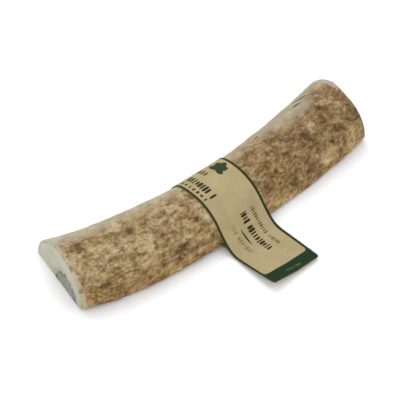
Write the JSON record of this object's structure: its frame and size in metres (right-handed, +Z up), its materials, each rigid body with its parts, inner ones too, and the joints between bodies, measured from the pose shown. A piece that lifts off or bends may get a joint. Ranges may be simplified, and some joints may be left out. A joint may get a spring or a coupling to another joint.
{
  "type": "split elk antler",
  "caption": "Half of an elk antler beam, sawn lengthwise and across both ends, lying on its split face in a looped kraft card label with a flat glued flag.",
  "frame": {"origin": "centre of the bounding box on the surface that the split face rests on", "axes": "+X along the antler, +Y away from the card's flag, +Z up from the split face"},
  "size_m": [0.176, 0.0901, 0.0218],
  "materials": {
    "antler_bone": "dry pearled bark in mottled brown and cream, cut faces pale matte bone with grey porous marrow",
    "kraft_card": "matte brown kraft card with thin dark green border lines and a dark green end strip"
  },
  "bodies": {
    "root": {"antler": "antler_bone", "label_band": "kraft_card"}
  },
  "joints": []
}
